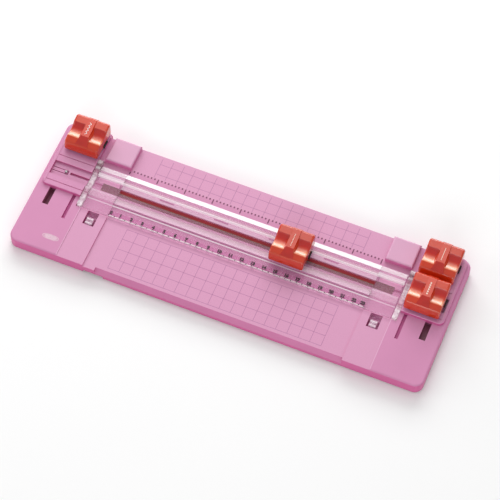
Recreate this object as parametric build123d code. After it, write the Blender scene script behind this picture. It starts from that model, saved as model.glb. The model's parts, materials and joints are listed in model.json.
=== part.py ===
from build123d import *
import math
import os

# Four-in-one rotary paper trimmer: a flat ruled base, a clear hinged guide rail,
# and four pressed heads (perforating, wave, straight, creasing).
# Frame: +X along the rail to the right, +Y to the back, +Z up, origin under the
# middle of the footprint, on the surface that the rubber feet stand on. Millimetres.

# ---- driving dimensions: base ----
body_half = 184.0
front_y = -63.5
bed_back_y = 61.0
dock_back_y = 63.5
corner_r = 8.0
foot_h = 2.4
skirt_z = 1.2
bed_z = 10.0
band_z = 11.3
deck_z = 11.8
skin = 2.0
wall = 2.0
bed_half = 115.3
band_half = 139.3
rail_zone_front = -13.0
rail_zone_back = 36.6
lip_start_x = -104.5
lip_depth = 3.3
lip_drop = 4.8
notch_x0 = -115.4
notch_x1 = -97.0
notch_h = 2.5

# ---- driving dimensions: blade line, mat and rail ----
blade_y = 14.0
slot_half = 1.75
channel_half = 6.8
groove_half = 7.6
track_half = 14.2
track_z = 14.5
channel_z = 12.0
groove_top_z = 13.4
rail_under_z = 10.3
flange_front_y = -12.0
guide_half = 115.2
rail_end_x = 143.8
end_plate_x = 139.5
plate_step = 0.5
lip_z = 13.4
mat_half = 131.9
mat_y0 = 9.7
mat_y1 = 17.1
mat_depth = 1.6
stick_half = 115.6
stick_y0 = 13.0
stick_y1 = 16.7
stick_depth = 1.0
grip_front_y = 0.9
grip_back_y = 6.3
slope_y0 = 25.9
slope_y1 = 30.9
slope_z = 12.6
window_pitch = 49.6
window_length = 13.2
window_y0 = 18.6
window_y1 = 20.2

# ---- driving dimensions: hinge, docks, stops, latches ----
hinge_y = 32.5
hinge_z = 13.2
knuckle_r = 2.9
hinge_pin_r = 1.0
running_gap = 0.05
dock_x0 = 144.2
dock_x1 = 181.0
dock_y0 = -3.8
dock_y1 = 62.3
dock_rim = 3.0
rim_h = 0.3
ear_t = 0.7
track_line = 12.9
dock_blade_half = 1.2
store_y = 48.5
leaf_x0 = -178.0
leaf_x1 = -163.8
leaf_half = 1.4
leaf_gap = 0.6
leaf_t = 1.2
park_x = 160.5
stop_y0 = 37.4
stop_z = 15.0
latch_x = 127.3
latch_window_half = 5.0
latch_pad_half = 3.4
latch_pad_y = -18.6
latch_y0 = -26.2
latch_y1 = -12.2
latch_floor_z = 4.5
latch_z0 = 8.8
latch_z1 = 11.6
moving_gap = 0.3
wide_slot_x = 169.1
wide_slot_w = 5.5
wide_slot_y0 = -21.3
wide_slot_floor = 4.0
narrow_slot_x = 149.2
narrow_slot_w = 2.9
narrow_slot_y0 = -28.3
narrow_slot_floor = 9.2

# ---- driving dimensions: heads, measured from the track's top ----
rail_head_x = 41.0
cover_half_u = 15.5
cover_front_v = 15.4
cover_back_v = 14.9
tab_u = 16.4
cover_low = 2.5
cover_wall = 1.2
cover_corner_r = 1.8
wheel_r = 6.3
wheel_bore_gap = 0.06
axle_r = 1.0
axle_w = 4.0
carrier_half_u = 3.0
carrier_half_v = 2.6
hub_half = 1.1
post_u = 10.2
post_r = 1.3
boss_r = 2.0
spring_r = 2.6
spring_wire_r = 0.25

# ---- fasteners ----
screw_r = 1.2
screw_head_r = 2.4
screw_head_h = 1.3
screw_top_z = 13.0


def block(x0, x1, y0, y1, z0, z1):
    """A box between two opposite corners."""
    centre = Pos((x0 + x1) / 2, (y0 + y1) / 2, (z0 + z1) / 2)
    return centre * Box(x1 - x0, y1 - y0, z1 - z0)


def post(x, y, z0, z1, radius):
    """An upright round bar."""
    return Pos(x, y, (z0 + z1) / 2) * Cylinder(radius, z1 - z0)


def bar_x(x0, x1, y, z, radius):
    """A round bar along X."""
    return Pos((x0 + x1) / 2, y, z) * Rot(0, 90, 0) * Cylinder(radius, x1 - x0)


def bar_y(y0, y1, x, z, radius):
    """A round bar along Y."""
    return Pos(x, (y0 + y1) / 2, z) * Rot(90, 0, 0) * Cylinder(radius, y1 - y0)


def prism_x(points, x0, x1):
    """A prism along X with an outline given as (y, z) points."""
    outline = Polyline(*[(x0, y, z) for y, z in points], close=True)
    return extrude(make_face(outline), amount=x1 - x0, dir=(1, 0, 0))


def prism_y(points, y0, y1):
    """A prism along Y with an outline given as (x, z) points."""
    outline = Polyline(*[(x, y0, z) for x, z in points], close=True)
    return extrude(make_face(outline), amount=y1 - y0, dir=(0, 1, 0))


def both_sides(shape):
    """The shape with its mirror image on the other side of the middle."""
    return [shape, mirror(shape, about=Plane.YZ)]


def upright_edges(shape):
    """Edges of a shape that run along Z."""
    return shape.edges().filter_by(Axis.Z)


def save(name, *solids):
    """One STEP file for one named piece."""
    shape = solids[0] if len(solids) == 1 else Compound(children=list(solids))
    export_step(shape, f"parts/{name}.step")


def dock_block(z0, z1):
    """The dock's plan with its rounded outer corners, on the right."""
    plan = block(dock_x0, dock_x1, dock_y0, dock_y1, z0, z1)
    outer = upright_edges(plan).group_by(Axis.X)[-1]
    return fillet(outer, 5.0)


# ---- base ----
def base_outline():
    points = [
        (-body_half, front_y),
        (body_half, front_y),
        (body_half, dock_back_y),
        (dock_x0, dock_back_y),
        (dock_x0, bed_back_y),
        (-dock_x0, bed_back_y),
        (-dock_x0, dock_back_y),
        (-body_half, dock_back_y),
    ]
    face = make_face(Polyline(*points, close=True))
    far = [v for v in face.vertices() if abs(v.X) > body_half - 1]
    return fillet(far, corner_r)


def base_ribs():
    """Crossing stiffening ribs under the top skin."""
    low, high = 2.6, bed_z - skin
    half_t = 0.8
    ribs = []
    for x in (0, 29, 58, 87, 116, 141, 158.5):
        for side in {x, -x}:
            ribs.append(block(side - half_t, side + half_t, front_y + 1, bed_back_y - 1, low, high))
    for y in (-46, -31.5, 40):
        ribs.append(block(-body_half + 1, body_half - 1, y - half_t, y + half_t, low, high))
    ribs.append(block(-body_half + 1, body_half - 1, blade_y - 5, blade_y + 5, 6.2, high))
    return ribs


def dock_screw_places():
    return [(165.0, 31.0), (177.0, 56.0), (176.0, 0.6)]


def foot_places():
    return [(x, y) for x in (-172, 0, 172) for y in (-50, 50)]


def base_shell():
    outline = base_outline()
    shell = extrude(Pos(0, 0, skirt_z) * outline, amount=deck_z - skirt_z)
    shell = fillet(shell.faces().sort_by(Axis.Z)[-1].edges(), 1.6)
    inner = offset(outline, -wall, kind=Kind.INTERSECTION)
    shell -= extrude(Pos(0, 0, skirt_z - 1) * inner, amount=bed_z - skin - skirt_z + 1)
    for rib in base_ribs():
        shell += rib
    for x, y in foot_places():
        shell += post(x, y, foot_h, bed_z - skin, 7.0)
    top = deck_z + 5
    # latch wells, open at the top
    for side in (-latch_x, latch_x):
        x0 = side - latch_window_half
        x1 = side + latch_window_half
        well = block(x0 - 1.6, x1 + 1.6, latch_y0 - 1.6, latch_y1 + 1.6, latch_floor_z - 1.5, bed_z)
        shell += well
        shell -= block(x0, x1, latch_y0, latch_y1, latch_floor_z, top)
        shell += post(side, (latch_y0 + latch_y1) / 2 - 2.4, latch_floor_z, latch_floor_z + 2.0, 1.4)
    # deep wells under the wide slots of the deck
    well_x0 = wide_slot_x - wide_slot_w / 2 - 1.6
    well_x1 = wide_slot_x + wide_slot_w / 2 + 1.6
    for half in both_sides(block(well_x0, well_x1, wide_slot_y0 - 1.6, 3.6, wide_slot_floor - 1.5, bed_z)):
        shell += half
    # the bed, the bands and the level zone under the rail
    shell -= block(-bed_half, bed_half, front_y - 5, bed_back_y + 5, bed_z, top)
    shell -= block(-dock_x0, dock_x0, rail_zone_front, rail_zone_back, bed_z, top)
    bands = block(bed_half - 1, band_half, front_y - 5, rail_zone_front + 1, band_z, top)
    seats = block(bed_half - 1, band_half, rail_zone_back - 1, bed_back_y + 5, bed_z, top)
    beside = block(band_half - 1, dock_x0, rail_zone_back - 1, bed_back_y + 5, band_z, top)
    recess = dock_block(bed_z, top)
    wide = block(
        wide_slot_x - wide_slot_w / 2,
        wide_slot_x + wide_slot_w / 2,
        wide_slot_y0,
        2.0,
        wide_slot_floor,
        top,
    )
    narrow = block(
        narrow_slot_x - narrow_slot_w / 2,
        narrow_slot_x + narrow_slot_w / 2,
        narrow_slot_y0,
        2.0,
        narrow_slot_floor,
        top,
    )
    blade_groove = block(
        mat_half, dock_x0, blade_y - dock_blade_half, blade_y + dock_blade_half, bed_z - 1, top
    )
    for cut in (bands, seats, beside, recess, wide, narrow, blade_groove):
        for half in both_sides(cut):
            shell -= half
    # the groove for the mat
    shell -= block(-mat_half, mat_half, mat_y0, mat_y1, bed_z - mat_depth, top)
    # the sloped front lip of the bed and the finger notch under it
    slope = [
        (front_y - 1, bed_z + 1),
        (front_y + lip_depth + 0.69, bed_z + 1),
        (front_y - 0.01, bed_z - lip_drop),
        (front_y - 1, bed_z - lip_drop),
    ]
    shell -= prism_x(slope, lip_start_x, bed_half)
    shell -= block(notch_x0, notch_x1, front_y - 1, front_y + wall + 1, 0, skirt_z + notch_h)
    # screw holes for the docks and the rear stops
    holes = [post(x, y, bed_z - skin - 6, top, screw_r) for x, y in dock_screw_places()]
    holes.append(post(latch_x, 49.2, bed_z - skin - 6, top, screw_r))
    for hole in holes:
        for half in both_sides(hole):
            shell -= half
    heads = [post(x, y, 0, bed_z - skin, screw_head_r + 0.3) for x, y in dock_screw_places()]
    heads.append(post(latch_x, 49.2, 0, bed_z - skin, screw_head_r + 0.3))
    for head in heads:
        for half in both_sides(head):
            shell -= half
    return shell


def screw(x, y):
    """A pan-head screw, driven up from below, with a cross recess."""
    head_z = bed_z - skin
    shape = post(x, y, head_z - screw_head_h, head_z, screw_head_r)
    shape = fillet(shape.faces().sort_by(Axis.Z)[0].edges(), 0.5)
    shape += post(x, y, head_z, screw_top_z, screw_r)
    for half_x, half_y in ((1.3, 0.3), (0.3, 1.3)):
        shape -= block(x - half_x, x + half_x, y - half_y, y + half_y, 0, head_z - 0.6)
    return shape


def dock():
    """The right dock: a tray with a loading channel and a storage pocket."""
    tray = dock_block(bed_z, track_z + rim_h)
    tray = fillet(tray.faces().sort_by(Axis.Z)[-1].edges(), 1.4)
    # the surface that the heads stand on is lower than the rounded rim
    floor_x1 = dock_x1 - dock_rim
    tray += block(dock_x0, dock_x0 + 2, dock_y0, dock_y1 - 2, bed_z, track_z)
    tray += block(dock_x0, floor_x1 - 3, dock_y1 - 4, dock_y1, bed_z, track_z)
    tray -= block(dock_x0 - 1, floor_x1, dock_y0 - 1, dock_y1 + 1, track_z, 20)
    # the loading channel, with its undercut grooves
    tray -= block(dock_x0 - 1, floor_x1, blade_y - channel_half, blade_y + channel_half, channel_z, 20)
    tray -= block(
        dock_x0 - 1, floor_x1, blade_y - groove_half, blade_y + groove_half, channel_z, groove_top_z
    )
    # the storage pocket
    pocket_v = groove_half + 0.1
    pocket = block(
        park_x - 13.2, park_x + 13.2, store_y - pocket_v, store_y + pocket_v, channel_z, 20
    )
    tray -= pocket
    for y in (blade_y, store_y):
        x0 = dock_x0 - 1 if y == blade_y else park_x - 8
        tray -= block(x0, park_x + 8, y - dock_blade_half, y + dock_blade_half, 0, 20)
    # moulding pockets from below
    tray -= block(dock_x0 + 2, dock_x1 - 8, blade_y + 10, blade_y + 13.5, bed_z, track_z - skin)
    # fine grooves that mark the edges of the head's track
    for y in (blade_y - track_line, blade_y + track_line):
        tray -= block(dock_x0 - 1, floor_x1, y - 0.3, y + 0.3, track_z - 0.6, 20)
    # the hinge ear and its bore
    tray += bar_x(dock_x0, dock_x0 + ear_t, hinge_y, hinge_z, knuckle_r + 0.1)
    tray -= bar_x(dock_x0 - 1, dock_x0 + 7, hinge_y, hinge_z, hinge_pin_r)
    for x, y in dock_screw_places():
        tray -= post(x, y, bed_z - 1, screw_top_z, screw_r)
    return tray


def left_dock():
    """The mirror image, with a slot round a springy tongue that holds a parked head."""
    tray = mirror(dock(), about=Plane.YZ)
    y0, y1 = blade_y - dock_blade_half, blade_y + dock_blade_half
    tray += block(-park_x - 8, -park_x - 1, y0, y1, bed_z, channel_z)
    reach = leaf_half + leaf_gap
    tray -= block(leaf_x0, leaf_x1 + leaf_gap, blade_y - reach, blade_y + reach, bed_z - 1, channel_z)
    return tray


def rear_stop():
    """A pale raised block that squares the paper, with a hollow underside."""
    cap = block(bed_half, band_half, stop_y0, bed_back_y, bed_z, stop_z)
    cap = fillet(cap.faces().sort_by(Axis.Z)[-1].edges(), 1.5)
    cap -= block(bed_half + 2, band_half - 2, stop_y0 + 2, bed_back_y - 2, bed_z, stop_z - skin)
    cap += post(latch_x, 49.2, bed_z, stop_z - 1, 3.0)
    cap -= post(latch_x, 49.2, bed_z - 1, screw_top_z, screw_r)
    return cap


def mat_carrier():
    strip = block(-mat_half, mat_half, mat_y0, mat_y1, bed_z - mat_depth, bed_z)
    strip -= block(-stick_half, stick_half, stick_y0, stick_y1, bed_z - stick_depth, bed_z + 1)
    return strip


def cutting_stick():
    """The replaceable stick, in the back half of its carrier."""
    return block(-stick_half, stick_half, stick_y0, stick_y1, bed_z - stick_depth, bed_z)


# ---- rail ----
def front_section():
    """Outline of the front guide: ruler flange, grooved track and channel floor."""
    track_front = blade_y - track_half
    track_back = blade_y - channel_half
    groove = blade_y - groove_half
    return [
        (flange_front_y, rail_under_z),
        (grip_front_y, rail_under_z),
        (grip_front_y, channel_z),
        (grip_back_y, channel_z),
        (grip_back_y, rail_under_z),
        (blade_y - slot_half, rail_under_z),
        (blade_y - slot_half, channel_z),
        (groove, channel_z),
        (groove, groove_top_z),
        (track_back, groove_top_z),
        (track_back, track_z),
        (track_front + 0.5, track_z),
        (track_front, track_z - 0.5),
        (track_front, channel_z),
        (flange_front_y + 0.7, channel_z),
        (flange_front_y, channel_z - 0.7),
    ]


def back_section():
    """Outline of the back guide: channel floor, track and a long slope behind it."""
    track_front = blade_y + channel_half
    groove = blade_y + groove_half
    return [
        (blade_y + slot_half, rail_under_z),
        (slope_y1, rail_under_z),
        (slope_y1, slope_z),
        (slope_y0, track_z),
        (track_front, track_z),
        (track_front, groove_top_z),
        (groove, groove_top_z),
        (groove, channel_z),
        (blade_y + slot_half, channel_z),
    ]


def front_guide():
    return prism_x(front_section(), -guide_half, guide_half)


def back_guide():
    guide = prism_x(back_section(), -guide_half, guide_half)
    # four shallow sight windows in the channel floor
    for i in range(4):
        x = (i - 1.5) * window_pitch
        x0, x1 = x - window_length / 2, x + window_length / 2
        guide -= block(x0, x1, window_y0, window_y1, channel_z - 0.8, channel_z + 0.5)
    return guide


def grip_strip():
    """A ribbed strip under the front track that holds the paper."""
    strip = block(
        -guide_half + 0.5, guide_half - 0.5, grip_front_y, grip_back_y, rail_under_z, channel_z
    )
    for i in range(4):
        y = grip_front_y + 0.9 + i * 1.2
        strip -= block(-guide_half, guide_half, y - 0.25, y + 0.25, 0, rail_under_z + 0.3)
    return strip


def rail_end():
    """The right clear end: a solid stretch of the rail's section, an end plate
    with a front lip, and the hinge knuckle at the back."""
    front = front_section()
    back = back_section()
    y_front = blade_y - slot_half
    y_back = blade_y + slot_half
    end = prism_x(front, guide_half, rail_end_x)
    end += block(guide_half, rail_end_x, grip_front_y - 1, grip_back_y + 1, rail_under_z, channel_z)
    end += prism_x(back, guide_half, rail_end_x)
    end += block(guide_half, rail_end_x, y_front - 1, y_back + 1, rail_under_z, channel_z)
    # the end plate is a little lower than the track, so that a head slides over it
    track_y0, track_y1 = blade_y - track_half - 1, hinge_y + 1
    end -= block(end_plate_x, rail_end_x + 1, track_y0, track_y1, track_z - plate_step, 20)
    # a notch between the guide and the end plate, and a sight opening in the channel floor
    end -= block(end_plate_x - 1.0, end_plate_x, flange_front_y - 1, slope_y1 + 1, channel_z - 0.6, 20)
    end -= block(guide_half + 2.0, end_plate_x - 2.0, blade_y + 2.6, blade_y + channel_half, 0, 20)
    lip_back_y = blade_y - track_half + 1
    lip = block(end_plate_x, rail_end_x, flange_front_y - 0.6, lip_back_y, rail_under_z, lip_z)
    lip = fillet(upright_edges(lip).group_by(Axis.Y)[0], 1.6)
    end += lip
    web = block(end_plate_x, rail_end_x, blade_y + track_half - 3, hinge_y, 10.6, track_z - plate_step)
    end += web
    end += bar_x(end_plate_x, rail_end_x, hinge_y, hinge_z, knuckle_r)
    end -= bar_x(end_plate_x - 1, rail_end_x + 1, hinge_y, hinge_z, hinge_pin_r + running_gap)
    return end


def hinge_pin():
    pin = bar_x(end_plate_x + 0.5, dock_x0 + 6, hinge_y, hinge_z, hinge_pin_r)
    return chamfer(pin.edges().filter_by(GeomType.CIRCLE), 0.2)


# ---- latches ----
def latch():
    """The right latch: a clear press tab with two finger ridges and a nose
    that lies in front of the rail's edge."""
    half = latch_pad_half
    pad_y0 = latch_y0 + moving_gap
    tab = block(latch_x - half, latch_x + half, pad_y0, latch_pad_y, latch_z0, latch_z1)
    tab = fillet(tab.faces().sort_by(Axis.Z)[-1].edges(), 0.6)
    for y in (pad_y0 + 1.6, pad_y0 + 5.2):
        tab += bar_x(latch_x - half + 0.5, latch_x + half - 0.5, y, latch_z1 - 0.2, 0.9)
    wide = latch_window_half - moving_gap
    tab += block(latch_x - wide, latch_x + wide, latch_pad_y - 0.6, latch_y1 - 0.3, latch_z0, latch_z0 + 1.3)
    return tab


def coil(radius, wire, z0, z1, turns):
    """A round-wire compression spring between two heights."""
    height = z1 - z0 - 2 * wire
    path = Helix(pitch=height / turns, height=height, radius=radius)
    start = path @ 0
    section = Plane(origin=start, z_dir=path % 0) * Circle(wire)
    return Pos(0, 0, z0 + wire) * sweep(section, path=path)


def latch_spring():
    y = (latch_y0 + latch_y1) / 2 - 2.4
    return Pos(latch_x, y, 0) * coil(2.0, 0.25, latch_floor_z, latch_z0, 3.5)


# ---- park detent in the left channel ----
def detent_leaf():
    """The springy tongue, fixed at its outer end."""
    y0, y1 = blade_y - leaf_half, blade_y + leaf_half
    return block(leaf_x0, leaf_x1, y0, y1, channel_z - leaf_t, channel_z)


def detent_pin():
    pin = post(leaf_x1 - 1.5, blade_y, channel_z, channel_z + 1.5, 1.2)
    return fillet(pin.faces().sort_by(Axis.Z)[-1].edges(), 0.4)


# ---- heads, in their own frame: u along the rail, v across it, w up from the track ----
def lobe_outline():
    """Side outline of the cover: front face, shoulder, scooped dish, back flat."""
    low = cover_low
    back = (0, cover_back_v, 13.2)
    brow = (0, 12.6, 15.2)
    crest = (0, 6.2, 14.6)
    shoulder = (0, -7.4, 12.8)
    chin = (0, -13.4, 10.8)
    front = (0, -cover_front_v + 0.2, 6.0)
    lower = [(0, cover_back_v, low), (0, -cover_front_v, low)]
    lines = Polyline(crest, brow, back, *lower, front, chin, shoulder)
    dish = ThreePointArc(shoulder, (0, -2.0, 11.3), crest)
    face = make_face(lines + dish)
    for point, radius in ((brow, 1.2), (back, 1.5), (chin, 3.4), (front, 4.0)):
        corner = face.vertices().sort_by_distance(point)[0]
        face = fillet(corner, radius)
    return face


def ridge():
    """The raised middle rib that carries the head's mark and flares at its foot."""
    side = [
        (-12.8, 9.8),
        (-12.8, 11.0),
        (-5.6, 15.3),
        (12.4, 15.8),
        (cover_back_v, 13.7),
        (cover_back_v, 9.8),
    ]
    flare = [
        (-6.4, 9.8),
        (6.4, 9.8),
        (5.3, 11.8),
        (4.2, 13.6),
        (3.5, 15.9),
        (-3.5, 15.9),
        (-4.2, 13.6),
        (-5.3, 11.8),
    ]
    rib = prism_x(side, -7, 7) & prism_y(flare, -12.9, cover_back_v)
    return fillet(rib.edges().group_by(Axis.Z)[-1], 0.5)


def cover():
    body = extrude(lobe_outline(), amount=cover_half_u, both=True, dir=(1, 0, 0))
    rims = [
        edge
        for edge in body.edges()
        if abs(edge.center().X) > cover_half_u - 0.1 and edge.center().Z > cover_low + 0.5
    ]
    body = fillet(rims, cover_corner_r)
    body += ridge()
    # a hollow that follows the outer skin
    side = [
        (-cover_front_v + cover_wall, cover_low - 1),
        (-cover_front_v + cover_wall, 6.0),
        (-12.1, 9.3),
        (-1.0, 9.8),
        (6.2, 12.9),
        (12.1, 13.4),
        (cover_back_v - cover_wall, 12.0),
        (cover_back_v - cover_wall, cover_low - 1),
    ]
    hollow = prism_x(side, -cover_half_u + cover_wall, cover_half_u - cover_wall)
    hollow = fillet(upright_edges(hollow), 1.2)
    body -= hollow
    body -= block(-carrier_half_u, carrier_half_u, -4.0, 11.0, 9.0, 13.6)
    for side in (-1, 1):
        u = side * post_u
        body += post(u, 0, 9.7, 10.9, 3.2)
        body += post(u, 0, 3.2, 10.6, post_r)
        # a clearance notch over each side tab of the chassis
        u0, u1 = sorted((side * 13.0, side * (tab_u + 0.6)))
        body -= block(u0, u1, -2.2, 5.8, 0, 4.2)
    return body


def carrier():
    """Two cheeks and a bridge that hang under the ridge and hold the axle."""
    half_u = carrier_half_u
    half_v = carrier_half_v
    frame = block(-half_u, half_u, -half_v, half_v, 1.4, 13.6)
    frame -= block(-half_u - 1, half_u + 1, -hub_half - 0.15, hub_half + 0.15, 0, 11.4)
    frame = fillet(frame.edges().filter_by(Axis.Y).group_by(Axis.Z)[0], 1.2)
    frame -= bar_y(-4, 4, 0, axle_w, axle_r)
    return frame


def axle():
    pin = bar_y(-carrier_half_v, carrier_half_v, 0, axle_w, axle_r)
    return chamfer(pin.edges().filter_by(GeomType.CIRCLE), 0.15)


def wheel(kind):
    """A wheel on a small hub. Its rim cuts straight, waves, perforates or creases."""
    half = {"straight": 0.25, "wave": 0.8, "perforating": 0.3, "creasing": 0.75}[kind]
    disc = bar_y(-half, half, 0, 0, wheel_r)
    if kind == "creasing":
        disc = fillet(disc.edges().filter_by(GeomType.CIRCLE), 0.7)
    if kind in ("straight", "perforating"):
        disc = chamfer(disc.edges().filter_by(GeomType.CIRCLE), half * 0.8, 0.8)
    if kind == "perforating":
        count = 18
        for i in range(count):
            tooth = Rot(0, 360 / count * i, 0) * block(5.5, 7.0, -1, 1, -0.45, 0.45)
            disc -= tooth
    if kind == "wave":
        count = 20
        for i in range(count):
            side = 1 if i % 2 else -1
            cut = block(4.2, 7.0, side * 0.2, side * 1.2, -0.72, 0.72) if side > 0 else (
                block(4.2, 7.0, -1.2, -0.2, -0.72, 0.72)
            )
            disc -= Rot(0, 360 / count * i, 0) * cut
    disc += bar_y(-hub_half, hub_half, 0, 0, 2.4)
    disc -= bar_y(-3, 3, 0, 0, axle_r + wheel_bore_gap)
    return Pos(0, 0, axle_w) * disc


def chassis():
    """The sliding frame: wing plate, grooved shoe, spring bosses and side tabs."""
    frame = block(-13.5, 13.5, -12.9, 12.9, 0.3, 2.0)
    frame = fillet(upright_edges(frame), 1.5)
    shoe_low = channel_z - track_z + moving_gap
    frame += block(-12.5, 12.5, -6.3, 6.3, shoe_low, 0.5)
    frame += block(-12.5, 12.5, -7.3, 7.3, shoe_low, shoe_low + 0.8)
    for side in (-1, 1):
        x0, x1 = sorted((side * 13.0, side * tab_u))
        frame += block(x0, x1, -1.8, 5.4, 0.3, 1.9)
        frame += post(side * post_u, 0, 1.0, 6.5, boss_r)
    frame -= block(-7.4, 7.4, -2.9, 2.9, -5, 5)
    for side in (-1, 1):
        frame -= post(side * post_u, 0, -1.8, 8, post_r + running_gap)
    return frame


def return_springs():
    spring = coil(spring_r, spring_wire_r, 2.0, 9.7, 5)
    return [Pos(u, 0, 0) * spring for u in (-post_u, post_u)]


def save_head(name, kind, x, y):
    place = Pos(x, y, track_z)
    save(f"{name}_cover", place * cover())
    save(f"{name}_carrier", place * carrier())
    save(f"{name}_axle", place * axle())
    save(f"{name}_wheel", place * wheel(kind))
    save(f"{name}_chassis", place * chassis())
    save(f"{name}_springs", *[place * spring for spring in return_springs()])


def main():
    os.makedirs("parts", exist_ok=True)
    save("base_shell", base_shell())
    save("right_dock", dock())
    save("left_dock", left_dock())
    right_stop, left_stop = both_sides(rear_stop())
    save("right_rear_stop", right_stop)
    save("left_rear_stop", left_stop)
    save("mat_carrier", mat_carrier())
    save("cutting_stick", cutting_stick())
    save("front_guide", front_guide())
    save("back_guide", back_guide())
    save("grip_strip", grip_strip())
    right_end, left_end = both_sides(rail_end())
    save("right_rail_end", right_end)
    save("left_rail_end", left_end)
    right_pin, left_pin = both_sides(hinge_pin())
    save("right_hinge_pin", right_pin)
    save("left_hinge_pin", left_pin)
    right_latch, left_latch = both_sides(latch())
    save("right_latch", right_latch)
    save("left_latch", left_latch)
    right_spring, left_spring = both_sides(latch_spring())
    save("right_latch_spring", right_spring)
    save("left_latch_spring", left_spring)
    save("park_detent_leaf", detent_leaf())
    save("park_detent_pin", detent_pin())
    screws = [half for x, y in dock_screw_places() for half in both_sides(screw(x, y))]
    save("dock_screws", *screws)
    save("rear_stop_screws", *both_sides(screw(latch_x, 49.2)))
    feet = [fillet(post(x, y, 0, foot_h, 6.0).edges().group_by(Axis.Z)[0], 0.6) for x, y in foot_places()]
    save("rubber_feet", *feet)
    save_head("perforating", "perforating", rail_head_x, blade_y)
    save_head("wave", "wave", -park_x, store_y)
    save_head("straight", "straight", park_x, store_y)
    save_head("creasing", "creasing", park_x, blade_y)


main()
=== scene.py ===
import json
import math

import bmesh
import bpy
from mathutils import Matrix, Vector


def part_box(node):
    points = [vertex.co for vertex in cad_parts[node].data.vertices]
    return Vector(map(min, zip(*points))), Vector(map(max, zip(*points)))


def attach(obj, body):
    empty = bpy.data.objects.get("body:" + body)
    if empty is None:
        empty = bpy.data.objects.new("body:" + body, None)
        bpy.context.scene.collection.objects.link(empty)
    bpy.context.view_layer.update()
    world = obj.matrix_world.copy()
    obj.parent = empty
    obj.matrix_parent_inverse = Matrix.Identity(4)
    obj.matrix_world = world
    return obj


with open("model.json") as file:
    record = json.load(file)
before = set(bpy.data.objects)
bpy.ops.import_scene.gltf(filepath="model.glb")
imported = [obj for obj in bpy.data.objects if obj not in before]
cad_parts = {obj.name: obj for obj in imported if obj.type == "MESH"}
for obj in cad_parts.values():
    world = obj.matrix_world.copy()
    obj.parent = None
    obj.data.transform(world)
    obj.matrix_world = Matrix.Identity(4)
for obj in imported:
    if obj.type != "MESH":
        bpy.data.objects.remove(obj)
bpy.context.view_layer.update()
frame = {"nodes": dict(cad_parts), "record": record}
NODES = frame["nodes"]
MM = 0.001

# ---------------------------------------------------------------- places, from the frame
def middle(node):
    low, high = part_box(node)
    return (low + high) / 2


RAIL_LO, RAIL_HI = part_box("front_guide")
DECK_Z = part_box("base_shell")[1].z
BED_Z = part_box("cutting_stick")[1].z
FLANGE_T = 1.7 * MM
FLANGE_Z = RAIL_LO.z + FLANGE_T
BED_HALF = RAIL_HI.x
BLADE_Y = middle("perforating_axle").y
STORE_Y = middle("wave_axle").y
AXLE_Z = middle("wave_axle").z
RAIL_HEAD_X = middle("perforating_axle").x
DOCK_X = middle("straight_axle").x
HEADS = ("perforating", "wave", "straight", "creasing")

# ---------------------------------------------------------------- limits of the painted regions
# the ends of the bed, the painted highlight line along them and how far that line runs
BED_EDGE_X = (139.2 * MM, 140.0 * MM)
EDGE_LINE_X = (139.3 * MM, 139.8 * MM)
EDGE_LINE_Y = (-62.5 * MM, -5.0 * MM)
# heads further out than this stand in a dock
DOCKED_X = (100.0 * MM, 101.0 * MM)
# on a cover: half the ridge's width, the dishes' rise over the axle, half the ridge foot
RIDGE_HALF = (4.4 * MM, 4.9 * MM)
DISH_RISE = (4.0 * MM, 11.2 * MM)
FOOT_HALF = (6.1 * MM, 6.5 * MM)
# the floors of the rail's sight windows, its end plates and the latches' raised bars
WINDOW_Z = (11.6 * MM, 11.7 * MM)
END_PLATE_X = (139.2 * MM, 139.6 * MM)
LATCH_BAR_Z = (11.3 * MM, 11.9 * MM)
# where the grip strip darkens toward the blade, and the pitch of its grooves
DUSK_Y = (1.0 * MM, 6.5 * MM)
GROOVE_PITCH = 1.06 * MM
# the pitch of the fine lines in the clear rail
LINE_PITCH = 1.3 * MM


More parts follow.
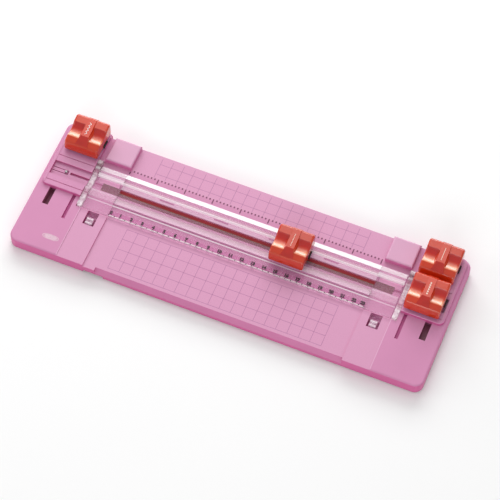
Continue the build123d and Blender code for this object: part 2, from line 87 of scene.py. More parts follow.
# ---------------------------------------------------------------- material helpers
class Graph:
    """A small helper that adds and links shader nodes in one material."""

    def __init__(self, name):
        self.mat = bpy.data.materials.new(name)
        self.mat.use_nodes = True
        self.tree = self.mat.node_tree
        self.tree.nodes.clear()
        self.out = self.tree.nodes.new("ShaderNodeOutputMaterial")
        source = self.tree.nodes.new("ShaderNodeTexCoord")
        self.coords = source.outputs["Object"]
        self.normal = source.outputs["Normal"]

    def node(self, kind, **values):
        made = self.tree.nodes.new(kind)
        for key, value in values.items():
            setattr(made, key, value)
        return made

    def link(self, a, b):
        self.tree.links.new(a, b)

    def noise(self, scale, detail=3.0, rough=0.55, stretch=None):
        tex = self.node("ShaderNodeTexNoise")
        tex.inputs["Scale"].default_value = scale
        tex.inputs["Detail"].default_value = detail
        tex.inputs["Roughness"].default_value = rough
        source = self.coords
        if stretch:
            mapping = self.node("ShaderNodeMapping")
            mapping.inputs["Scale"].default_value = stretch
            self.link(source, mapping.inputs["Vector"])
            source = mapping.outputs["Vector"]
        self.link(source, tex.inputs["Vector"])
        return tex.outputs["Fac"]

    def veiled_ramp(self, fac, stops):
        """Colour and veil along a factor, from stops [(position, (red, green, blue, veil))]."""
        made = self.node("ShaderNodeValToRGB")
        elements = made.color_ramp.elements
        while len(elements) < len(stops):
            elements.new(0.5)
        for element, (position, colour) in zip(elements, stops):
            element.position = position
            element.color = colour
        self.link(fac, made.inputs["Fac"])
        return made.outputs["Color"], made.outputs["Alpha"]

    def ramp(self, fac, stops):
        """Colour stops [(position, colour)] along a factor."""
        return self.veiled_ramp(fac, [(position, (*colour, 1.0)) for position, colour in stops])[0]

    def span(self, fac, low, high):
        """The factor's 0.3 to 0.7 range spread over low to high."""
        made = self.node("ShaderNodeMapRange")
        made.inputs["From Min"].default_value = 0.3
        made.inputs["From Max"].default_value = 0.7
        made.inputs["To Min"].default_value = low
        made.inputs["To Max"].default_value = high
        self.link(fac, made.inputs["Value"])
        return made.outputs["Result"]

    def math(self, operation, *values):
        """A math node on sockets or numbers."""
        made = self.node("ShaderNodeMath", operation=operation)
        for socket, value in zip(made.inputs, values):
            if isinstance(value, (int, float)):
                socket.default_value = value
            else:
                self.link(value, socket)
        return made.outputs["Value"]

    def step(self, value, start, end):
        """0 before start, 1 after end, and a straight ramp between them."""
        made = self.node("ShaderNodeMapRange")
        made.inputs["From Min"].default_value = start
        made.inputs["From Max"].default_value = end
        self.link(value, made.inputs["Value"])
        return made.outputs["Result"]

    def split(self, vector):
        """The three components of a vector socket."""
        made = self.node("ShaderNodeSeparateXYZ")
        self.link(vector, made.inputs["Vector"])
        return made.outputs["X"], made.outputs["Y"], made.outputs["Z"]

    def band(self, value, low, high, mask):
        """The mask where the value lies between low and high."""
        soft = 0.15 * MM
        above = self.step(value, low - soft, low + soft)
        below = self.step(value, high + soft, high - soft)
        return self.math("MULTIPLY", self.math("MULTIPLY", above, below), mask)

    def tint(self, colour, gain):
        """A colour multiplied by another."""
        made = self.node("ShaderNodeMix", data_type="RGBA", blend_type="MULTIPLY")
        made.inputs["Factor"].default_value = 1.0
        self.link(colour, made.inputs["A"])
        self.link(gain, made.inputs["B"])
        return made.outputs["Result"]

    def mix(self, fac, first, second):
        made = self.node("ShaderNodeMix", data_type="RGBA")
        self.link(fac, made.inputs["Factor"])
        self.link(first, made.inputs["A"])
        self.link(second, made.inputs["B"])
        return made.outputs["Result"]

    def mix_value(self, fac, first, second):
        """The first value moved toward a number by the factor."""
        gap = self.math("SUBTRACT", second, first)
        return self.math("MULTIPLY_ADD", fac, gap, first)

    def bump(self, height, strength, distance):
        made = self.node("ShaderNodeBump")
        made.inputs["Strength"].default_value = strength
        made.inputs["Distance"].default_value = distance
        self.link(height, made.inputs["Height"])
        return made.outputs["Normal"]

    def surface(self, **values):
        shader = self.node("ShaderNodeBsdfPrincipled")
        for key, value in values.items():
            shader.inputs[key.replace("_", " ")].default_value = value
        self.link(shader.outputs["BSDF"], self.out.inputs["Surface"])
        return shader


def shade(colour, gain):
    return tuple(min(1.0, c * gain) for c in colour)


def uneven(colour, amount):
    """Ramp stops from a little darker to a little lighter than a colour."""
    return [(0.3, shade(colour, 1 - amount)), (0.7, shade(colour, 1 + amount))]


def spread(places):
    """The first and last place of [(place in mm, colour)], in metres, and the stops between."""
    low, high = places[0][0], places[-1][0]
    return low * MM, high * MM, [((place - low) / (high - low), colour) for place, colour in places]


def moulded(name, colour, rough=(0.3, 0.42), grain=0.08, mottle=0.05, coat=0.0, sub=0.0, side=None,
            glare=0.5):
    """Injection-moulded plastic: faint mottling, a fine spark-eroded grain and uneven gloss.
    With a side colour, the upright faces take that deeper colour and the tops the paler one: painted shade on
    the uprights and a painted reflection of the overhead light on the tops."""
    g = Graph(name)
    shader = g.surface(Coat_Weight=coat, Coat_Roughness=0.12, Specular_IOR_Level=glare)
    if sub:
        shader.inputs["Subsurface Weight"].default_value = sub
        shader.inputs["Subsurface Radius"].default_value = (1.0, 0.25, 0.15)
        shader.inputs["Subsurface Scale"].default_value = 0.002
    broad = g.noise(22.0, 2.0)
    tone = g.ramp(broad, uneven(colour, mottle))
    if side:
        # painted light: paler tops as a painted reflection, deeper upright faces as painted shade
        upright = g.step(g.split(g.normal)[2], 0.75, 0.3)
        tone = g.mix(upright, tone, g.ramp(broad, uneven(side, mottle)))
    g.link(tone, shader.inputs["Base Color"])
    g.link(g.span(g.noise(60.0, 4.0), *rough), shader.inputs["Roughness"])
    g.link(g.bump(g.noise(2600.0, 2.0), grain, 0.00006), shader.inputs["Normal"])
    return g.mat, g, shader, tone


def base_pink():
    """The base: glossy decks at the ends, a paler and finely sanded bed between them."""
    mat, g, shader, tone = moulded(
        "base_plastic", DECK_PINK, rough=(0.34, 0.46), grain=0.2, mottle=0.03, side=SIDE_PINK)
    x, y, z = g.split(g.coords)
    across = g.math("ABSOLUTE", x)
    top = g.step(g.split(g.normal)[2], 0.75, 0.95)
    inside = g.math("MULTIPLY", g.step(across, BED_EDGE_X[1], BED_EDGE_X[0]), top)
    speckle = g.ramp(g.noise(1500.0, 4.0, 0.7), uneven(BED_PINK, 0.1))
    # painted shadow of the rail in front of and behind it, and painted light under it
    rail_light_and_shade = g.ramp(g.step(y, SHADED_Y[0] * MM, SHADED_Y[1] * MM), RAIL_SHADE)
    colour = g.mix(inside, tone, g.tint(speckle, rail_light_and_shade))
    # painted highlight along the step at each end of the bed
    edge_highlight = g.ramp(g.noise(400.0, 2.0), uneven(EDGE_HIGHLIGHT_PINK, 0.04))
    highlight_line = g.band(across, *EDGE_LINE_X, g.band(y, *EDGE_LINE_Y, top))
    colour = g.mix(highlight_line, colour, edge_highlight)
    dull = g.noise(500.0, 3.0)
    # painted shade down inside the deck slots and latch wells
    for (x0, x1), (y0, y1), top_z, pink in WELLS:
        low = g.step(z, top_z * MM, (top_z - 0.6) * MM)
        well_shade = g.band(across, x0 * MM, x1 * MM, g.band(y, y0 * MM, y1 * MM, low))
        colour = g.mix(well_shade, colour, g.ramp(dull, uneven(pink, 0.1)))
    g.link(colour, shader.inputs["Base Color"])
    return mat


def head_red():
    """The covers: glossy orange-red, with a painted highlight on each finger dish's floor by its front lip,
    painted shade deepening up its steep back wall, and painted shade on the ridge's sloped foot. The place v
    runs across the rail from the axle, and out runs along it from the head's middle."""
    mat, g, shader, tone = moulded(
        "head_red", HEAD_RED, rough=(0.16, 0.26), grain=0.05, mottle=0.08, coat=0.6, sub=0.15)
    x, y, z = g.split(g.coords)
    nx, ny, nz = g.split(g.normal)
    between = (BLADE_Y + STORE_Y) / 2
    stored = g.step(y, between - 0.3 * MM, between + 0.3 * MM)
    v = g.math("MULTIPLY_ADD", stored, BLADE_Y - STORE_Y, g.math("SUBTRACT", y, BLADE_Y))
    along = g.math("MULTIPLY_ADD", g.noise(180.0, 2.0), 1.2 * MM, g.math("SUBTRACT", v, 0.6 * MM))
    # painted highlight on the dish floor by the front lip, painted shade toward the steep back wall
    dish = g.ramp(g.step(along, DISH_V[0] * MM, DISH_V[1] * MM), DISH_LIGHT_AND_SHADE)
    across = g.math("ABSOLUTE", x)
    docked = g.step(across, *DOCKED_X)
    from_rail_head = g.math("SUBTRACT", across, RAIL_HEAD_X)
    out = g.math("ABSOLUTE", g.math("MULTIPLY_ADD", docked, RAIL_HEAD_X - DOCK_X, from_rail_head))
    facing = g.math("MULTIPLY", g.step(nz, 0.55, 0.7), g.step(out, *RIDGE_HALF))
    facing = g.band(g.math("SUBTRACT", z, AXLE_Z), *DISH_RISE, facing)
    painted_hollow = g.band(v, DISH_V[0] * MM, DISH_V[1] * MM, facing)
    # painted shade on the ridge's down-sloping foot
    sloped = g.math("MULTIPLY", g.step(ny, -0.42, -0.48), g.step(nz, 0.75, 0.80))
    foot = g.math("MULTIPLY", g.step(out, FOOT_HALF[1], FOOT_HALF[0]), sloped)
    colour = g.mix(foot, tone, g.ramp(g.noise(180.0, 2.0), uneven(SHADED_RED, 0.08)))
    g.link(g.mix(painted_hollow, colour, dish), shader.inputs["Base Color"])
    return mat


def clear(name, places, plate=0.0):
    """Clear styrene over the pink base. Each place is (y in mm, colour, veil): how white or grey and how
    dense the painted reflections and painted shade stand at that line of the section. The slope at the back
    is filled by a painted white reflection, and the end plates are a cloudy white of painted glints, with
    painted shadows of their steps and painted shade on their outer walls."""
    g = Graph(name)
    shader = g.surface(IOR=1.35, Coat_Weight=0.25, Coat_Roughness=0.05)
    x, y, z = g.split(g.coords)
    nx, ny, nz = g.split(g.normal)
    low, high, stops = spread([(place, (*colour, veil)) for place, colour, veil in places])
    flow = g.noise(30.0, 3.0, 0.5, (0.2, 8.0, 8.0))
    shift = g.math("MULTIPLY_ADD", flow, 0.5 * MM, -0.25 * MM)
    # painted reflections and painted shade along the section
    section, dense = g.veiled_ramp(g.step(g.math("ADD", y, shift), low, high), stops)
    lines = g.math("FRACT", g.math("MULTIPLY", y, 1 / LINE_PITCH))
    fine = g.span(g.math("PINGPONG", lines, 0.5), 0.75, 1.2)
    veil = g.math("MULTIPLY", dense, fine)
    # painted white reflection on the back slope
    slopes = g.math("MULTIPLY", g.step(ny, 0.2, 0.3), g.step(nz, 0.5, 0.6))
    white = g.ramp(flow, [(0.3, (0.84, 0.79, 0.82)), (0.7, (0.92, 0.88, 0.90))])
    colour = g.mix(slopes, section, white)
    veil = g.mix_value(slopes, veil, 0.5 if plate else 0.86)
    # painted shade on the floors of the sight windows
    painted_hollow = g.math("MULTIPLY", g.step(z, WINDOW_Z[1], WINDOW_Z[0]), g.step(nz, 0.5, 0.9))
    window_shade = g.ramp(flow, [(0.3, (0.36, 0.07, 0.20)), (0.7, (0.44, 0.11, 0.27))])
    colour = g.mix(painted_hollow, colour, window_shade)
    veil = g.mix_value(painted_hollow, veil, 0.45)
    if plate:
        ends = g.step(g.math("ABSOLUTE", x), *END_PLATE_X)
        # painted glints and painted shadows of the steps on the end plates
        glint_cloud = g.ramp(g.noise(420.0, 2.0), [(0.38, (0.70, 0.56, 0.62)), (0.52, (1.0, 1.0, 1.0))])
        low, high, stops = spread(PLATE_GLINTS_AND_SHADOWS)
        plate_light = g.ramp(g.step(y, low, high), stops)
        colour = g.mix(ends, colour, g.tint(plate_light, glint_cloud))
        veil = g.mix_value(ends, veil, plate)
        # painted shade on the end plates' outer walls
        walls = g.step(g.math("ABSOLUTE", nx), 0.5, 0.9)
        dark = g.ramp(flow, [(0.3, (0.20, 0.08, 0.12)), (0.7, (0.34, 0.16, 0.22))])
        colour = g.mix(walls, colour, dark)
        veil = g.mix_value(walls, veil, 0.55)
    under = g.step(nz, -0.3, -0.6)
    g.link(g.mix_value(under, veil, 0.01), shader.inputs["Alpha"])
    g.link(colour, shader.inputs["Base Color"])
    g.link(g.span(g.noise(90.0, 3.0), 0.06, 0.14), shader.inputs["Roughness"])
    g.link(g.bump(flow, 0.05, 0.0002), shader.inputs["Normal"])
    return g.mat


def clear_tab():
    """The clear latches: raised bars painted bright as highlights, on a faint pink body."""
    g = Graph("clear_latch")
    shader = g.surface(IOR=1.3, Coat_Weight=0.05, Coat_Roughness=0.05)
    x, y, z = g.split(g.coords)
    bars = g.step(z, *LATCH_BAR_Z)
    flow = g.noise(300.0, 2.0)
    body = g.ramp(flow, [(0.35, (0.50, 0.14, 0.32)), (0.65, (0.80, 0.38, 0.60))])
    # painted highlight on the raised bars
    bright = g.ramp(flow, [(0.3, (0.95, 0.74, 0.86)), (0.7, (1.0, 0.88, 0.95))])
    g.link(g.mix(bars, body, bright), shader.inputs["Base Color"])
    g.link(g.mix_value(bars, g.span(flow, 0.15, 0.30), 0.75), shader.inputs["Alpha"])
    g.link(g.span(g.noise(90.0, 3.0), 0.06, 0.14), shader.inputs["Roughness"])
    g.link(g.bump(flow, 0.08, 0.0002), shader.inputs["Normal"])
    return g.mat


def steel(name, colour, rough=(0.18, 0.34), stretch=(1.0, 40.0, 1.0), scale=120.0):
    """Ground or drawn steel with fine directional scratches."""
    g = Graph(name)
    shader = g.surface(Metallic=1.0)
    lines = g.noise(scale, 4.0, 0.6, stretch)
    tone = g.ramp(lines, [(0.3, shade(colour, 0.82)), (0.7, shade(colour, 1.1))])
    g.link(tone, shader.inputs["Base Color"])
    g.link(g.span(lines, *rough), shader.inputs["Roughness"])
    g.link(g.bump(lines, 0.12, 0.00004), shader.inputs["Normal"])
    return g.mat


def rubber(name, colour):
    """Matte rubber with a fine dry bloom."""
    g = Graph(name)
    shader = g.surface(Specular_IOR_Level=0.3)
    bloom = g.noise(300.0, 5.0)
    tone = g.ramp(bloom, [(0.3, shade(colour, 0.8)), (0.7, shade(colour, 1.25))])
    g.link(tone, shader.inputs["Base Color"])
    g.link(g.span(g.noise(150.0, 3.0), 0.6, 0.8), shader.inputs["Roughness"])
    g.link(g.bump(g.noise(1800.0, 3.0), 0.25, 0.0001), shader.inputs["Normal"])
    return g.mat


def ribbed(name, colour, groove_shade, pitch):
    """Soft clear-grey strip with fine grooves along its length, painted shade in each groove, darker toward
    the blade.
    """
    g = Graph(name)
    shader = g.surface()
    x, y, z = g.split(g.coords)
    wave = g.math("FRACT", g.math("MULTIPLY_ADD", y, 1 / pitch, g.span(g.noise(60.0), -0.06, 0.06)))
    # painted shade in the grooves
    strip = g.ramp(wave, [(0.0, groove_shade), (0.3, colour), (0.8, colour), (1.0, groove_shade)])
    dusk = g.ramp(g.step(y, *DUSK_Y), [(0.0, (1.0, 1.0, 1.0)), (1.0, (0.62, 0.55, 0.52))])
    g.link(g.tint(strip, dusk), shader.inputs["Base Color"])
    g.link(g.span(g.noise(200.0, 3.0), 0.45, 0.6), shader.inputs["Roughness"])
    g.link(g.bump(wave, 0.3, 0.0002), shader.inputs["Normal"])
    return g.mat


def ink(name, colour, rough=(0.35, 0.5)):
    """Pad-printed ink, slightly uneven where the film is thin."""
    g = Graph(name)
    shader = g.surface()
    film = g.noise(900.0, 4.0)
    g.link(g.ramp(film, [(0.3, shade(colour, 0.9)), (0.7, shade(colour, 1.12))]), shader.inputs["Base Color"])
    g.link(g.span(g.noise(400.0, 2.0), *rough), shader.inputs["Roughness"])
    g.link(g.bump(film, 0.1, 0.00002), shader.inputs["Normal"])
    return g.mat


# ---------------------------------------------------------------- colours, and where they lie
# the tops' pinks hold a painted reflection of the overhead light; SIDE_PINK is the deeper painted-shade
# colour of the upright faces
DECK_PINK = (0.625, 0.240, 0.430)
BED_PINK = (0.665, 0.300, 0.480)
SIDE_PINK = (0.60, 0.105, 0.300)
HEAD_RED = (0.60, 0.038, 0.007)
# painted shade colour for the ridge's sloped foot
SHADED_RED = (0.52, 0.014, 0.006)
EDGE_HIGHLIGHT_PINK = (0.77, 0.45, 0.63)
# the bed's tone along y (mm): painted shadow at both edges of the rail, painted light under it
SHADED_Y = (-17.5, 38.5)
RAIL_SHADE = [
    (0.0, (1.0, 1.0, 1.0)), (0.07, (0.86, 0.78, 0.83)), (0.1, (1.12, 1.06, 1.1)), (0.88, (1.12, 1.06, 1.1)),
    (0.9, (0.93, 0.82, 0.89)), (0.97, (0.92, 0.82, 0.88)), (1.0, (1.0, 1.0, 1.0)),
]
# the wide and narrow deck slots and the latch wells: across, along y, top (mm) and the painted shade colour
# inside them
WELLS = [
    ((165.0, 173.0), (-22.5, -2.0), 11.3, (0.36, 0.115, 0.19)),
    ((147.0, 151.5), (-29.5, -2.0), 11.3, (0.58, 0.115, 0.34)),
    ((121.5, 133.1), (-27.0, -11.0), 9.8, (0.57, 0.12, 0.33)),
]
# the finger dishes of a cover from their front lip to their back wall (mm from the axle), and their painted
# light: a painted highlight by the lip, painted shade on the back wall
DISH_V = (-8.0, 6.6)
DISH_LIGHT_AND_SHADE = [
    (0.0, (0.80, 0.22, 0.11)), (0.10, (0.98, 0.50, 0.33)), (0.28, (0.92, 0.33, 0.18)),
    (0.48, (0.64, 0.05, 0.018)), (0.66, (0.54, 0.010, 0.006)), (0.96, (0.50, 0.010, 0.006)),
    (1.0, (0.58, 0.06, 0.02)),
]
# the clear plastic along y (mm): the painted glints and painted step shadows of the end plates, then the
# colour and veil of the painted reflections and painted shade in the guides and in the rail's ends
CLEAR_WHITE = (0.97, 0.82, 0.91)
CLEAR_PINK = (0.86, 0.62, 0.76)
PLATE_GLINTS_AND_SHADOWS = [
    (-12.0, (0.92, 0.84, 0.88)), (-10.0, (1.0, 0.97, 0.98)), (-7.0, (0.80, 0.62, 0.72)),
    (-4.0, (0.94, 0.88, 0.91)), (0.2, (0.80, 0.55, 0.66)), (1.2, (0.38, 0.10, 0.20)),
    (3.0, (0.72, 0.46, 0.58)), (9.0, (0.80, 0.62, 0.70)), (13.0, (0.90, 0.80, 0.85)),
    (20.0, (0.88, 0.76, 0.82)), (24.0, (0.46, 0.16, 0.27)), (25.5, (0.34, 0.09, 0.18)),
    (27.5, (0.90, 0.84, 0.87)), (30.0, (0.30, 0.10, 0.15)), (32.0, (0.82, 0.70, 0.75)),
    (36.0, (0.93, 0.86, 0.90)),
]
RAIL_PLACES = [
    (-12.6, CLEAR_WHITE, 0.45), (-11.0, CLEAR_WHITE, 0.32), (-10.6, (0.58, 0.08, 0.34), 0.26),
    (-6.4, (0.58, 0.08, 0.34), 0.26), (-6.0, CLEAR_PINK, 0.06), (-2.2, CLEAR_PINK, 0.06),
    (-1.9, (1.0, 0.90, 0.96), 0.75), (-0.9, (1.0, 0.90, 0.96), 0.75), (-0.6, (0.52, 0.14, 0.33), 0.4),
    (0.0, (0.52, 0.14, 0.33), 0.35), (0.4, (0.98, 0.76, 0.89), 0.34), (4.5, (0.96, 0.74, 0.87), 0.20),
    (7.6, (0.5, 0.4, 0.4), 0.04), (15.9, (0.5, 0.3, 0.35), 0.02), (16.3, CLEAR_WHITE, 0.40),
    (20.4, CLEAR_WHITE, 0.36), (20.7, (1.0, 0.96, 0.98), 0.8), (21.3, (1.0, 0.94, 0.97), 0.7),
    (21.6, (0.72, 0.62, 0.62), 0.5), (22.8, (0.70, 0.58, 0.60), 0.45), (23.2, (0.60, 0.34, 0.47), 0.35),
    (25.8, (0.60, 0.34, 0.47), 0.35), (30.8, CLEAR_WHITE, 0.4),
]
END_PLACES = [
    (-12.6, CLEAR_WHITE, 0.30), (-11.0, CLEAR_PINK, 0.12), (-2.2, CLEAR_PINK, 0.08),
    (-1.9, CLEAR_WHITE, 0.5), (-0.9, CLEAR_WHITE, 0.5), (-0.6, (0.42, 0.09, 0.25), 0.35),
    (0.4, CLEAR_WHITE, 0.28), (7.0, CLEAR_WHITE, 0.22), (7.6, CLEAR_PINK, 0.04),
    (20.2, CLEAR_PINK, 0.04), (20.6, (1.0, 0.96, 0.98), 0.7), (23.4, (0.95, 0.90, 0.95), 0.6),
    (23.8, CLEAR_PINK, 0.3), (35.4, CLEAR_PINK, 0.35),
]

# ---------------------------------------------------------------- materials on the CAD pieces
MATERIALS = {
    "base_plastic": base_pink(),
    # paler tops and deeper sides: painted reflection on the tops, painted shade on the sides
    "dock_plastic": moulded("dock_plastic", DECK_PINK, rough=(0.22, 0.34), grain=0.05, mottle=0.03, coat=0.2,
                            side=SIDE_PINK)[0],
    "pale_plastic": moulded("pale_plastic", (0.68, 0.35, 0.52), rough=(0.3, 0.42), grain=0.12, mottle=0.03,
                            side=(0.62, 0.16, 0.36))[0],
    "head_red": head_red(),
    "carrier_red": moulded("carrier_red", (0.50, 0.03, 0.02), rough=(0.35, 0.5), grain=0.1)[0],
    "chassis_black": moulded("chassis_black", (0.028, 0.02, 0.024), rough=(0.4, 0.55), grain=0.2,
                             mottle=0.2)[0],
    "carrier_grey": moulded("carrier_grey", (0.150, 0.098, 0.064), rough=(0.5, 0.65), grain=0.3,
                            mottle=0.08, glare=0.2)[0],
    "stick_red": moulded("stick_red", (0.25, 0.012, 0.020), rough=(0.5, 0.65), grain=0.3,
                         mottle=0.12, glare=0.2)[0],
    "crease_plastic": moulded("crease_plastic", (0.72, 0.71, 0.68), rough=(0.25, 0.35), grain=0.05)[0],
    "clear_rail": clear("clear_rail", RAIL_PLACES),
    "clear_ends": clear("clear_ends", END_PLACES, 0.6),
    "clear_latch": clear_tab(),
    "grip_rubber": ribbed("grip_rubber", (0.88, 0.56, 0.74), (0.62, 0.33, 0.46), GROOVE_PITCH),
    "foot_rubber": rubber("foot_rubber", (0.03, 0.028, 0.03)),
    "screw_steel": steel("screw_steel", (0.50, 0.50, 0.51), stretch=(1.0, 1.0, 1.0), scale=500.0),
    "bright_steel": steel("bright_steel", (0.36, 0.34, 0.35)),
    "spring_steel": steel("spring_steel", (0.52, 0.52, 0.54), stretch=(1.0, 1.0, 1.0), scale=900.0),
    "blade_steel": steel("blade_steel", (0.66, 0.66, 0.68), rough=(0.12, 0.25), stretch=(30.0, 1.0, 1.0)),
}
SLOT_OF = {row["node"]: row["material_slot"] for row in frame["record"]["subparts"]}
for node, obj in NODES.items():
    obj.data.materials.clear()
    obj.data.materials.append(MATERIALS[SLOT_OF[node]])

DARK_INK = ink("dark_ink", (0.045, 0.006, 0.022))
TICK_INK = ink("tick_ink", (0.16, 0.025, 0.085))
GRID_INK = ink("grid_ink", (0.44, 0.165, 0.33))
WHITE_INK = ink("white_ink", (0.86, 0.84, 0.82))
MARK_INK = ink("mark_ink", (0.90, 0.66, 0.55))


# ---------------------------------------------------------------- printed marks, as thin films of ink
class Film:
    """Collects flat pieces of print into one mesh."""

    def __init__(self, name, material, body, slot, thick=0.03 * MM):
        self.name, self.material, self.body, self.slot, self.thick = name, material, body, slot, thick
        self.bm = bmesh.new()

    def quad(self, corners, lift):
        """A thin closed plate over four corners, raised along lift."""
        low = [self.bm.verts.new(Vector(c)) for c in corners]
        high = [self.bm.verts.new(Vector(c) + lift * self.thick) for c in corners]
        self.bm.faces.new(high)
        self.bm.faces.new(low[::-1])
        count = len(low)
        for i in range(count):
            j = (i + 1) % count
            self.bm.faces.new((low[i], low[j], high[j], high[i]))

    def rect(self, x0, x1, y0, y1, z):
        self.quad([(x0, y0, z), (x1, y0, z), (x1, y1, z), (x0, y1, z)], Vector((0, 0, 1)))

    def text(self, words, x, y, z, size):
        """Flat generic numerals, centred at x, y."""
        curve = bpy.data.curves.new(self.name + "_numeral", "FONT")
        curve.body = words
        curve.size = size
        curve.align_x = "CENTER"
        curve.align_y = "CENTER"
        curve.extrude = self.thick / 2
        curve.offset = size * 0.09
        curve.resolution_u = 4
        temp = bpy.data.objects.new(self.name + "_numeral", curve)
        bpy.context.scene.collection.objects.link(temp)
        bpy.context.view_layer.update()
        mesh = bpy.data.meshes.new_from_object(temp.evaluated_get(bpy.context.evaluated_depsgraph_get()))
        mesh.transform(Matrix.Translation((x, y, z + self.thick / 2)))
        self.bm.from_mesh(mesh)
        bpy.data.meshes.remove(mesh)
        bpy.data.objects.remove(temp)
        bpy.data.curves.remove(curve)

    def done(self):
        mesh = bpy.data.meshes.new(self.name)
        bmesh.ops.recalc_face_normals(self.bm, faces=self.bm.faces)
        self.bm.to_mesh(mesh)
        self.bm.free()
        mesh.materials.append(self.material)
        obj = bpy.data.objects.new(self.name, mesh)
        bpy.context.scene.collection.objects.link(obj)
        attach(obj, self.body)
        return obj


# the centimetre ruler on the rail's front flange: ticks at the edge, numerals behind them
FLANGE_FRONT = RAIL_LO.y
RULER_CM = 24
RULER_START = -115
NUMERAL_SIZE = 3.9 * MM
TICK_Y = (FLANGE_FRONT + 0.8 * MM, FLANGE_FRONT + 2.2 * MM)
HALF_TICK_Y = (FLANGE_FRONT + 0.8 * MM, FLANGE_FRONT + 2.0 * MM)
DASH_Y = (FLANGE_FRONT + 0.75 * MM, FLANGE_FRONT + 1.5 * MM)
ruler = Film("rail_ruler_print", DARK_INK, "rail", "clear_rail")
dashes = Film("rail_white_print", WHITE_INK, "rail", "clear_rail")
for cm in range(RULER_CM):
    x = (RULER_START + 10 * cm) * MM
    x = max(-BED_HALF + 0.6 * MM, min(BED_HALF - 0.6 * MM, x))
    ruler.rect(x - 0.35 * MM, x + 0.35 * MM, *TICK_Y, FLANGE_Z)
    place = max(-BED_HALF + 1.6 * MM, min(BED_HALF - 2.4 * MM, x))
    ruler.text(str(cm), place, FLANGE_FRONT + 4.0 * MM, FLANGE_Z, NUMERAL_SIZE)
    if cm < RULER_CM - 1:
        ruler.rect(x + 4.6 * MM, x + 5.4 * MM, *HALF_TICK_Y, FLANGE_Z)
        for part in range(10):
            x0 = x + (part + 0.12) * MM
            dashes.rect(x0, x0 + 0.62 * MM, *DASH_Y, FLANGE_Z)
ruler.done()
dashes.done()

# the inch scale on the bed behind the rail
INCH = 25.4 * MM
SCALE_INCHES = 9
SCALE_X, SCALE_Y = -115.6 * MM, 37.9 * MM
inches = Film("inch_scale_print", TICK_INK, "base", "base_plastic")
for eighth in range(8 * SCALE_INCHES + 1):
    x = SCALE_X + INCH * eighth / 8
    if eighth % 8 == 0:
        back = SCALE_Y - 1.4 * MM if eighth == 0 else SCALE_Y + 0.5 * MM
        inches.rect(x - 0.5 * MM, x + 0.5 * MM, SCALE_Y - 4.2 * MM, back, BED_Z)
    else:
        inches.rect(x - 0.62 * MM, x + 0.62 * MM, SCALE_Y - 1.1 * MM, SCALE_Y + 0.5 * MM, BED_Z)
inches.done()

# the centimetre grid on the bed, in front of and behind the rail
GRID_END = 95
GRID_PITCH = 10
LINE_HALF = 0.2 * MM
FRONT_ROWS = [y * MM for y in range(-57, -12, GRID_PITCH)]
BACK_ROWS = [43 * MM, 53 * MM]
grid = Film("bed_grid_print", GRID_INK, "base", "base_plastic", 0.02 * MM)
for column in range(-GRID_END, GRID_END + 1, GRID_PITCH):
    x = column * MM
    grid.rect(x - LINE_HALF, x + LINE_HALF, FRONT_ROWS[0], FRONT_ROWS[-1], BED_Z)
    grid.rect(x - LINE_HALF, x + LINE_HALF, BACK_ROWS[0] - 4 * MM, BACK_ROWS[-1] + 6 * MM, BED_Z)
for y in FRONT_ROWS + BACK_ROWS:
    grid.rect(-GRID_END * MM, GRID_END * MM, y - LINE_HALF, y + LINE_HALF, BED_Z)
grid.done()

# a plain filled oval with an outline on the left deck, with no lettering
OVAL_X, OVAL_Y = -150.7 * MM, -49.1 * MM
OVAL_SIDES = 48
OVAL_BANDS = ((7.4, 6.6), (5.8, 0.6))
badge = Film("deck_oval_print", ink("badge_ink", (0.70, 0.46, 0.56)), "base", "base_plastic")


def oval(t, half_x, half_y):
    across = math.copysign(abs(math.cos(t)) ** 0.6, math.cos(t))
    return (OVAL_X + half_x * across, OVAL_Y + half_y * math.sin(t), DECK_Z)


for i in range(OVAL_SIDES):
    a, b = 2 * math.pi * i / OVAL_SIDES, 2 * math.pi * (i + 1) / OVAL_SIDES
    for outer, inner in OVAL_BANDS:
        shape = (outer * MM, outer * MM * 0.33), (inner * MM, inner * MM * 0.30)
        badge.quad([oval(a, *shape[0]), oval(b, *shape[0]), oval(b, *shape[1]), oval(a, *shape[1])],
                   Vector((0, 0, 1)))
badge.done()

# ---------------------------------------------------------------- the marks on the heads' ridges
# the ends of the ridge's sloped top, from a point a little under the axle
RIDGE_FRONT, RIDGE_BACK = Vector((0, -5.6, 15.3)) * MM, Vector((0, 12.4, 15.8)) * MM
RIDGE_DROP = 3.0 * MM
MARK_START, MARK_LENGTH = 2.2 * MM, 12.4 * MM


def ridge_mark(name):
    """Pale marks that show what the wheel does, on the sloped top of the ridge."""
    lo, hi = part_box(name + "_cover")
    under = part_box(name + "_axle")[0].z - RIDGE_DROP
    origin = Vector(((lo.x + hi.x) / 2, (lo.y + hi.y) / 2, under))
    along = (RIDGE_BACK - RIDGE_FRONT).normalized()
    side = Vector((1, 0, 0))
    lift = side.cross(along)
    start = origin + RIDGE_FRONT + along * MARK_START
    film_ink = WHITE_INK if name == "wave" else MARK_INK
    film = Film(name + "_mark", film_ink, name + "_press", "head_red", 0.04 * MM)

    def stroke(a, b, half):
        """A bar between two (across, along) points."""
        pa = start + side * a[0] + along * a[1]
        pb = start + side * b[0] + along * b[1]
        n = (pb - pa).normalized().cross(lift) * half
        film.quad([pa - n, pb - n, pb + n, pa + n][::-1], lift)

    def dashed(count, filled, half):
        """Equal dashes along the ridge, each filling a part of its share."""
        for i in range(count):
            a = MARK_LENGTH * i / count
            stroke((0, a), (0, a + MARK_LENGTH / count * filled), half)

    if name == "straight":
        stroke((0, 0), (0, MARK_LENGTH), 0.22 * MM)
    if name == "perforating":
        dashed(9, 0.5, 0.36 * MM)
    if name == "creasing":
        dashed(6, 0.7, 0.6 * MM)
    if name == "wave":
        count = 8
        for i in range(count):
            a, b = MARK_LENGTH * i / count, MARK_LENGTH * (i + 1) / count
            across = 0.9 * MM if i % 2 else -0.9 * MM
            stroke((across, a), (-across, b), 0.22 * MM)
    film.done()


for head in HEADS:
    ridge_mark(head)


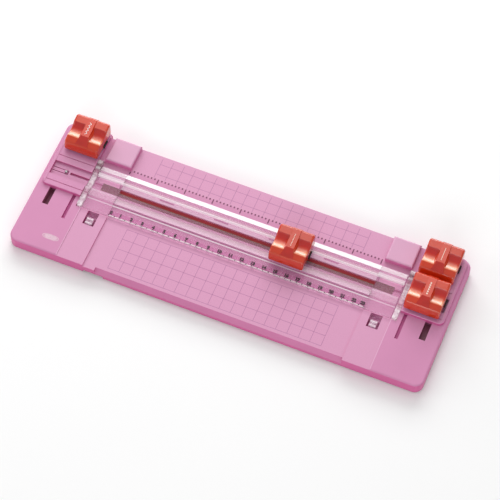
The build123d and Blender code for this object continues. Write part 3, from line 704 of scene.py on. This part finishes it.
# ---------------------------------------------------------------- stage, light and camera
def floor():
    bm = bmesh.new()
    bmesh.ops.create_grid(bm, x_segments=8, y_segments=8, size=6.0)
    mesh = bpy.data.meshes.new("floor")
    bm.to_mesh(mesh)
    bm.free()
    obj = bpy.data.objects.new("floor", mesh)
    bpy.context.scene.collection.objects.link(obj)
    g = Graph("floor_paper")
    shader = g.surface(Roughness=0.9)
    paper = g.ramp(g.noise(2.0), [(0.3, (0.955, 0.955, 0.955)), (0.7, (0.97, 0.97, 0.97))])
    g.link(paper, shader.inputs["Base Color"])
    mesh.materials.append(g.mat)


def softbox(name, place, target, size, power):
    light = bpy.data.lights.new(name, "AREA")
    light.shape = "RECTANGLE"
    light.size, light.size_y = size
    light.energy = power
    obj = bpy.data.objects.new(name, light)
    bpy.context.scene.collection.objects.link(obj)
    obj.location = place
    obj.rotation_mode = "QUATERNION"
    obj.rotation_quaternion = (Vector(target) - Vector(place)).to_track_quat("-Z", "Y")


floor()
world = bpy.data.worlds.new("studio")
bpy.context.scene.world = world
world.use_nodes = True
background = world.node_tree.nodes["Background"]
background.inputs["Color"].default_value = (1, 1, 1, 1)
background.inputs["Strength"].default_value = 0.52
softbox("backdrop", (-0.65, 1.64, 0.94), (0, 0, 0), (2.2, 1.0), 32.0)
softbox("overhead", (-0.30, 0.79, 1.47), (0, 0, 0), (0.9, 0.8), 3.0)
softbox("front_fill", (0.5, -1.8, 0.9), (0, 0, 0), (1.6, 0.8), 11.0)
softbox("left_fill", (-1.6, -0.5, 0.8), (0, 0, 0), (0.6, 0.8), 3.0)
scene = bpy.context.scene
scene.view_settings.view_transform = "Standard"

# the fitted viewpoint: the camera's place and its forward, right and up directions
CAMERA_PLACE = (0.3339, -0.8263, 1.5479)
LENS_MM = 153.4
FORWARD = Vector((-0.1835, 0.4671, -0.8649)).normalized()
RIGHT = Vector((0.9253, 0.3793, 0.0086)).normalized()
UP = RIGHT.cross(FORWARD).normalized()
RIGHT = FORWARD.cross(UP).normalized()
camera = bpy.data.objects.new("camera", bpy.data.cameras.new("camera"))
scene.collection.objects.link(camera)
camera.data.sensor_width = 36.0
camera.data.lens = LENS_MM
camera.data.clip_start = 0.05
camera.data.clip_end = 50.0
rotation = Matrix((RIGHT, UP, -FORWARD)).transposed().to_4x4()
camera.matrix_world = Matrix.Translation(CAMERA_PLACE) @ rotation
scene.camera = camera
